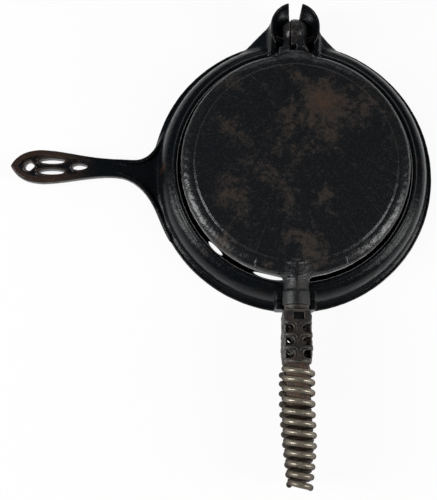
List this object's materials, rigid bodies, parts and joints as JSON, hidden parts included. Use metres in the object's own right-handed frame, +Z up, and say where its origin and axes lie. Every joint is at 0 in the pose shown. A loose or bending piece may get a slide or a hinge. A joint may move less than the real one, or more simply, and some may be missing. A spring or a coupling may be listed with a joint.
{
  "type": "waffle iron",
  "caption": "Cast iron stovetop waffle iron: two round plates on a ball hinge in a low base ring with a side handle, coil grips in front.",
  "frame": {"origin": "Centre of the round foot of the base ring, on the surface it stands on", "axes": "+Z up, -Y towards the coil grips, +Y towards the ball hinge, -X towards the side handle"},
  "size_m": [0.3619, 0.4036, 0.0613],
  "materials": {
    "black_iron": "seasoned",
    "plate_iron": "seasoned",
    "bare_iron": "worn",
    "rusty_iron": "rusted",
    "plain_steel": "worn",
    "coil_steel": "worn"
  },
  "bodies": {
    "stand": {"base": "black_iron"},
    "pivot": {"hinge_pin": "plain_steel"},
    "lower_half": {"lower_plate": "plate_iron", "lower_shank": "bare_iron", "lower_rivet": "plain_steel", "lower_core": "rusty_iron", "lower_coil": "coil_steel"},
    "upper_half": {"upper_plate": "plate_iron", "upper_shank": "bare_iron", "upper_rivet": "plain_steel", "upper_core": "rusty_iron", "upper_coil": "coil_steel"}
  },
  "joints": [
    {"name": "turn", "type": "hinge", "parent": "stand", "child": "pivot", "pos_m": [0, 0.117, 0.0335], "axis": [0, 1, 0], "range_deg": [-12, 12]},
    {"name": "raise", "type": "hinge", "parent": "pivot", "child": "lower_half", "pos_m": [0, 0.117, 0.0335], "axis": [-1, 0, 0], "range_deg": [0, 15]},
    {"name": "open", "type": "hinge", "parent": "lower_half", "child": "upper_half", "pos_m": [0, 0.117, 0.0335], "axis": [-1, 0, 0], "range_deg": [0, 100]}
  ]
}
